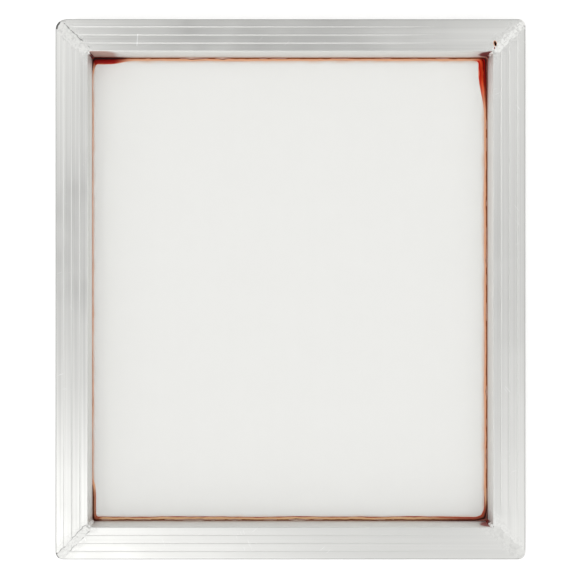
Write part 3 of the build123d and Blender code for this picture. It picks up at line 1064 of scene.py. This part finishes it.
def outer_weld(corner, rim_shade):
    """The rounded outside of one corner, with this much painted shade on its rim."""
    sign_x, sign_y = CORNERS[corner]
    low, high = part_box("outer_weld_" + corner)
    radius = high.x - low.x
    centre = corner_point(OUTER - Vector((radius, radius)), corner, (RAIL_BASE + RAIL_TOP) / 2)
    height = RAIL_TOP - RAIL_BASE
    start_clean()
    bpy.ops.mesh.primitive_cylinder_add(vertices=96, radius=radius, depth=height, location=centre)
    weld = bpy.context.object
    weld.name = "weld_outer_" + corner
    bpy.ops.object.transform_apply(location=True, rotation=True, scale=True)
    bpy.ops.object.mode_set(mode="EDIT")
    for inward in ((-sign_x, 0, 0), (0, -sign_y, 0)):
        bpy.ops.mesh.select_all(action="SELECT")
        bpy.ops.mesh.bisect(
            plane_co=centre + Vector(inward) * 0.3 * MM, plane_no=inward, clear_outer=True, use_fill=True
        )
    pick(
        weld,
        "EDGE",
        lambda e: abs(e.verts[0].co.z - e.verts[1].co.z) < HAIR
        and ((e.verts[0].co + e.verts[1].co) / 2 - centre).to_2d().length > radius * 0.9,
    )
    bpy.ops.mesh.bevel(offset=RIM_BEVEL, segments=3, affect="EDGES")
    bpy.ops.object.mode_set(mode="OBJECT")
    press(weld, "REMESH", mode="VOXEL", voxel_size=SKIN)
    texture = clouds("ground " + corner, 6 * MM, 2)
    press(weld, "DISPLACE", texture=texture, strength=0.35 * MM, direction="NORMAL", mid_level=0.7)
    # Painted shade on the rim, stored with the grime: strongest on the two left corners.
    shaded_rim = [fall_off(RAIL_TOP - 0.9 * MM - vertex.co.z, 2 * MM) for vertex in weld.data.vertices]
    numbers(weld, "grime_and_shade", [rim_shade * on_rim for on_rim in shaded_rim])
    settle(weld, WELD, 180)
    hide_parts("outer_weld_" + corner)


for corner, rim_shade in RIM_SHADE.items():
    outer_weld(corner, rim_shade)

# %% [markdown]
# Inside each corner a vertical bead of weld was left as it cooled: a stack of overlapping ripples. A
# cylinder stands in the corner, every other ring of it is drawn in, and a subdivision rounds the steps.
# `smear` says how much adhesive is on it: most at its foot, and in some corners more than in others.

# %% inner welds
RIPPLE = 1.5 * MM  # from one ring to the next
WAIST = 0.86  # every other ring's radius, as a share
SMEARED = {"back_left": 0.45, "back_right": 0.30, "front_left": 0.10, "front_right": 0.34}


def inner_weld(corner, smeared):
    """The rippled bead of weld up one inside corner."""
    low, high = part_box("inner_weld_" + corner)
    leg = high.x - low.x
    height = high.z - low.z
    centre = corner_point(WELL + Vector((leg, leg)) * 0.1, corner, (low.z + high.z) / 2)
    start_clean()
    bpy.ops.mesh.primitive_cylinder_add(vertices=24, radius=leg * 0.62, depth=height, location=centre)
    weld = bpy.context.object
    weld.name = "weld_inner_" + corner
    bpy.ops.object.transform_apply(location=True, rotation=True, scale=True)
    bpy.ops.object.mode_set(mode="EDIT")
    rings = 2 * int(height / RIPPLE / 2) - 1
    pick(weld, "EDGE", lambda e: abs(e.verts[0].co.z - e.verts[1].co.z) > MM)
    bpy.ops.mesh.subdivide(number_cuts=rings)
    pick(weld, "VERT", lambda v: round((v.co.z - low.z) / height * (rings + 1)) % 2 == 0)
    bpy.ops.transform.resize(value=(WAIST, WAIST, 1), center_override=centre)
    bpy.ops.object.mode_set(mode="OBJECT")
    press(weld, "SUBSURF", levels=2, render_levels=2)
    texture = clouds("ripples " + corner, 3 * MM)
    press(weld, "DISPLACE", texture=texture, strength=1.0 * MM, direction="NORMAL")
    levels = [(vertex.co.z - low.z) / height for vertex in weld.data.vertices]
    numbers(weld, "smear", [smeared + 0.40 * (1 - level) for level in levels])
    numbers(weld, "frost", [1.0] * len(levels))
    settle(weld, WELD, 180)
    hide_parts("inner_weld_" + corner)


for corner, smeared in SMEARED.items():
    inner_weld(corner, smeared)

# %% [markdown]
# Two blowholes beside the back right weld filled up with adhesive. Each is a flattened ball, sunk in the
# rail's upper face, and the larger one has a thin orange rim round it.

# %% drops in the blowholes
DROPS = [
    # place from the back right corner of the well, half-sizes, turn, reach, pool
    ((2.3 * MM, 8.4 * MM), (1.3 * MM, 2.8 * MM, 0.50 * MM), 0.25, 0.0, 1.0),
    ((2.2 * MM, 8.4 * MM), (2.0 * MM, 3.5 * MM, 0.12 * MM), 0.25, 0.86, 0.0),
    ((1.4 * MM, 3.6 * MM), (0.7 * MM, 0.9 * MM, 0.40 * MM), 0.0, 0.15, 1.0),
]
drops = []
for (right, back), half_sizes, turn, reach, pool in DROPS:
    start_clean()
    bpy.ops.mesh.primitive_uv_sphere_add(
        segments=32,
        ring_count=16,
        radius=1,
        location=(WELL.x + right, WELL.y + back, RAIL_TOP + 0.05 * MM),
        rotation=(0, 0, turn),
    )
    drop = bpy.context.object
    drop.scale = half_sizes
    bpy.ops.object.transform_apply(location=True, rotation=True, scale=True)
    numbers(drop, "reach", [reach] * len(drop.data.vertices))
    numbers(drop, "pool", [pool] * len(drop.data.vertices))
    drops.append(drop)
start_clean()
for drop in drops:
    drop.select_set(True)
bpy.context.view_layer.objects.active = drops[0]
bpy.ops.object.join()
drop = drops[0]
drop.name = "adhesive_drops"
press(drop, "DISPLACE", texture=clouds("drop", 1.5 * MM), strength=0.2 * MM, direction="NORMAL")
settle(drop, ADHESIVE, 180)
